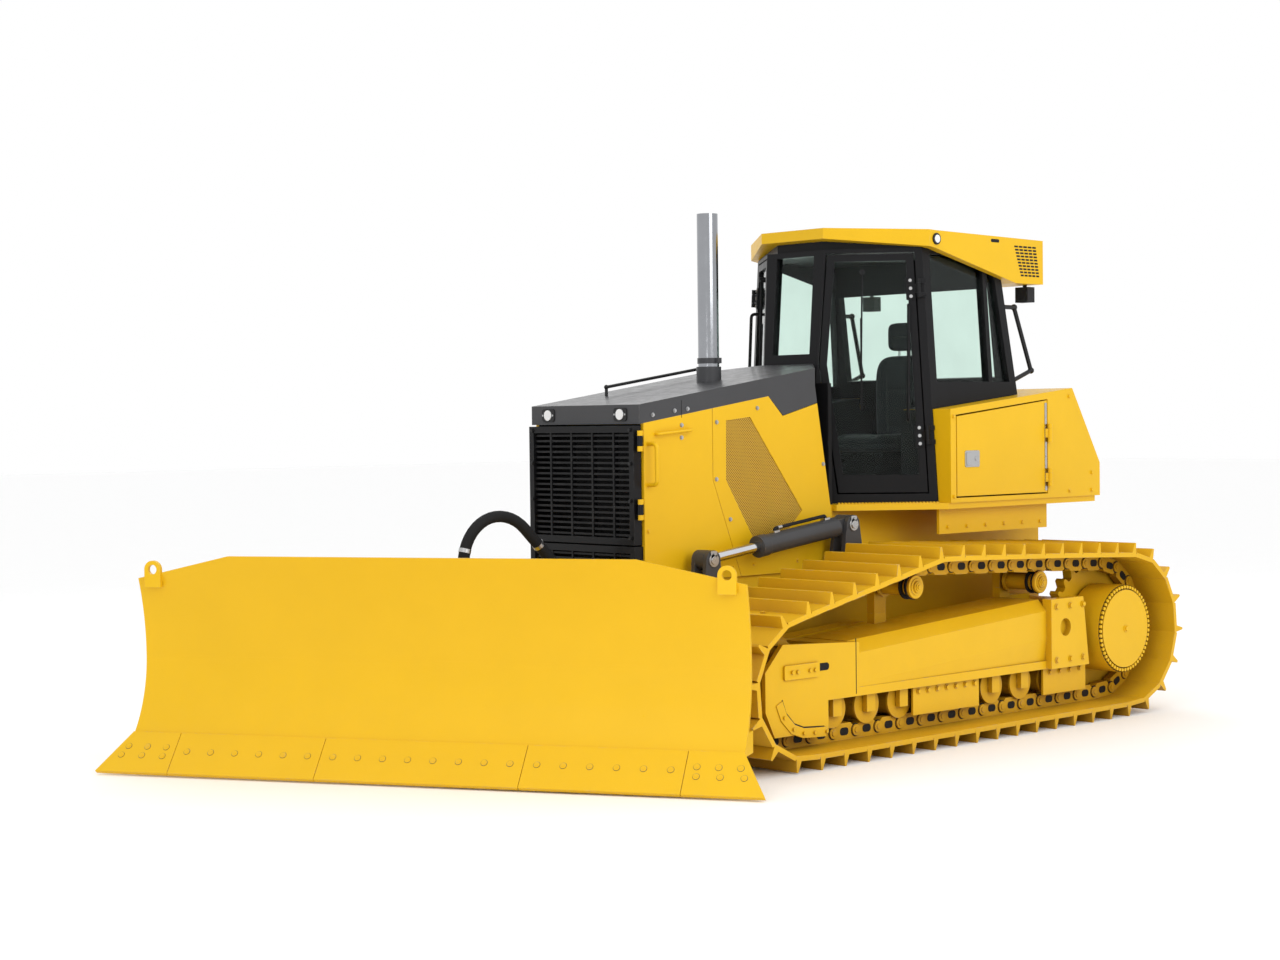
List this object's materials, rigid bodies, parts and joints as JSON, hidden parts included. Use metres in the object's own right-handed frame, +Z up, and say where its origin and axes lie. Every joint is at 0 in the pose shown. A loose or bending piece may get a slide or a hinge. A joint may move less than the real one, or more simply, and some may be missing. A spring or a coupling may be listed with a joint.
{
  "type": "bulldozer",
  "caption": "Yellow tracked bulldozer with an enclosed cab, chrome exhaust stack, vented hood and a wide front blade that lifts, swings and tilts",
  "frame": {"origin": "on the ground below the middle of the machine's box, blade included", "axes": "+Z up, -Y forward, +X the machine's left"},
  "size_m": [3.523, 6.6804, 3.32],
  "materials": {
    "yellow_paint": "satin",
    "dark_paint": "satin",
    "black_paint": "satin",
    "chrome": "polished",
    "glass": "gloss",
    "lamp_glass": "gloss",
    "rubber": "matte",
    "dark_plastic": "matte",
    "seat_cloth": "matte"
  },
  "bodies": {
    "chassis": {"main_frame": "yellow_paint", "drawbar": "dark_paint", "engine_block": "dark_paint", "radiator": "black_paint", "hood_top": "dark_paint", "hood_lamps": "lamp_glass", "hood_side_left": "yellow_paint", "hood_side_right": "yellow_paint", "exhaust_stack": "chrome", "hood_rail": "black_paint", "deck": "yellow_paint", "side_box_left": "yellow_paint", "side_box_right": "yellow_paint", "fuel_tank": "yellow_paint", "cab_frame": "black_paint", "cab_roof": "yellow_paint", "cab_glass": "glass", "seat": "seat_cloth", "console": "dark_plastic", "work_lamps": "dark_plastic", "cab_rails": "black_paint", "lift_brackets": "dark_paint", "cross_shaft": "dark_paint", "equalizer_bar": "dark_paint", "track_frame_left": "yellow_paint", "track_frame_right": "yellow_paint", "idlers": "yellow_paint", "final_drives": "yellow_paint", "bottom_rollers": "yellow_paint", "carrier_rollers": "yellow_paint", "track_chains": "yellow_paint", "track_left": "yellow_paint", "track_right": "yellow_paint", "hose": "rubber", "grille_base": "black_paint"},
    "c_frame": {"c_frame": "yellow_paint", "lift_towers": "dark_paint"},
    "yoke": {"yoke": "dark_paint"},
    "blade": {"moldboard": "yellow_paint", "cutting_edges": "yellow_paint"},
    "lift_cylinder_left": {"lift_barrel_left": "dark_paint"},
    "lift_cylinder_right": {"lift_barrel_right": "dark_paint"},
    "lift_piston_left": {"lift_rod_left": "chrome"},
    "lift_piston_right": {"lift_rod_right": "chrome"},
    "angle_cylinder_left": {"angle_barrel_left": "dark_paint"},
    "angle_cylinder_right": {"angle_barrel_right": "dark_paint"},
    "angle_piston_left": {"angle_rod_left": "chrome"},
    "angle_piston_right": {"angle_rod_right": "chrome"},
    "tilt_cylinder": {"tilt_barrel": "dark_paint"},
    "tilt_piston": {"tilt_rod": "chrome"},
    "grille_door": {"grille": "black_paint"},
    "left_door": {"cab_door_left": "black_paint", "door_glass_left": "glass"},
    "right_door": {"cab_door_right": "black_paint", "door_glass_right": "glass"},
    "left_service_door": {"service_door_left": "yellow_paint"},
    "right_service_door": {"service_door_right": "yellow_paint"}
  },
  "joints": [
    {"name": "lift", "type": "hinge", "parent": "chassis", "child": "c_frame", "pos_m": [-0.23001, 0.91911, 0.6], "axis": [1, 0, 0], "range_deg": [-19.5, 10.5], "deforming": ["hose"]},
    {"name": "angle", "type": "hinge", "parent": "c_frame", "child": "yoke", "pos_m": [-0.23001, -1.96089, 0.7], "axis": [0, 0, -1], "range_deg": [0, 58.6]},
    {"name": "tilt", "type": "hinge", "parent": "yoke", "child": "blade", "pos_m": [-0.23001, -1.96089, 0.7], "axis": [0.4894, -0.8721, 0], "range_deg": [-8, 8]},
    {"name": "lift_swing_left", "type": "hinge", "parent": "chassis", "child": "lift_cylinder_left", "pos_m": [0.38999, 0.81011, 1.341], "axis": [1, 0, 0], "range_deg": [-21.77, 12.03]},
    {"name": "lift_stroke_left", "type": "slide", "parent": "lift_cylinder_left", "child": "lift_piston_left", "axis": [0, -0.9917, -0.1283], "range_m": [-0.2589, 0.143]},
    {"name": "lift_swing_right", "type": "hinge", "parent": "chassis", "child": "lift_cylinder_right", "pos_m": [-0.85001, 0.81011, 1.341], "axis": [1, 0, 0], "range_deg": [-21.77, 12.03]},
    {"name": "lift_stroke_right", "type": "slide", "parent": "lift_cylinder_right", "child": "lift_piston_right", "axis": [0, -0.9917, -0.1283], "range_m": [-0.2589, 0.143]},
    {"name": "angle_swing_left", "type": "hinge", "parent": "c_frame", "child": "angle_cylinder_left", "pos_m": [0.36999, -0.68089, 0.7], "axis": [0, 0, -1], "range_deg": [-10.29, 0.2]},
    {"name": "angle_stroke_left", "type": "slide", "parent": "angle_cylinder_left", "child": "angle_piston_left", "axis": [-0.1622, -0.9868, 0], "range_m": [-0.0119, 0.6076]},
    {"name": "angle_swing_right", "type": "hinge", "parent": "c_frame", "child": "angle_cylinder_right", "pos_m": [-0.83001, -0.68089, 0.7], "axis": [0, 0, -1], "range_deg": [-10.29, 0.2]},
    {"name": "angle_stroke_right", "type": "slide", "parent": "angle_cylinder_right", "child": "angle_piston_right", "axis": [-0.0131, -0.9999, 0], "range_m": [-0.6076, 0.0119]},
    {"name": "tilt_swing", "type": "hinge", "parent": "yoke", "child": "tilt_cylinder", "pos_m": [-0.48674, -2.11643, 1.04], "axis": [0.4894, -0.8721, 0], "range_deg": [-5, 5]},
    {"name": "tilt_stroke", "type": "slide", "parent": "tilt_cylinder", "child": "tilt_piston", "axis": [0.8721, 0.4894, 0], "range_m": [-0.0493, 0.0493]},
    {"name": "grille_hinge", "type": "hinge", "parent": "chassis", "child": "grille_door", "pos_m": [0.27499, -0.88089, 1.5], "axis": [0, 0, 1], "range_deg": [0, 100]},
    {"name": "left_door_hinge", "type": "hinge", "parent": "chassis", "child": "left_door", "pos_m": [0.57364, 1.40932, 1.90054], "axis": [-0.0691, 0, 0.9976], "range_deg": [0, 100]},
    {"name": "right_door_hinge", "type": "hinge", "parent": "chassis", "child": "right_door", "pos_m": [-1.03366, 1.40932, 1.90054], "axis": [-0.0691, 0, -0.9976], "range_deg": [0, 100]},
    {"name": "left_service_hinge", "type": "hinge", "parent": "chassis", "child": "left_service_door", "pos_m": [0.74399, 2.50911, 1.75], "axis": [0, 0, 1], "range_deg": [0, 100]},
    {"name": "right_service_hinge", "type": "hinge", "parent": "chassis", "child": "right_service_door", "pos_m": [-1.20401, 2.50911, 1.75], "axis": [0, 0, -1], "range_deg": [0, 100]}
  ],
  "couplings": [
    {"joint": "lift_swing_left", "follows": "lift", "ratio": 1.0833},
    {"joint": "lift_stroke_left", "follows": "lift", "m_per_rad": 0.73813},
    {"joint": "lift_swing_right", "follows": "lift", "ratio": 1.0833},
    {"joint": "lift_stroke_right", "follows": "lift", "m_per_rad": 0.73813},
    {"joint": "angle_swing_left", "follows": "angle", "ratio": -0.17218},
    {"joint": "angle_stroke_left", "follows": "angle", "m_per_rad": 0.58246},
    {"joint": "angle_swing_right", "follows": "angle", "ratio": -0.17218},
    {"joint": "angle_stroke_right", "follows": "angle", "m_per_rad": -0.58246},
    {"joint": "tilt_swing", "follows": "tilt", "ratio": 0.60035},
    {"joint": "tilt_stroke", "follows": "tilt", "m_per_rad": -0.33981}
  ]
}
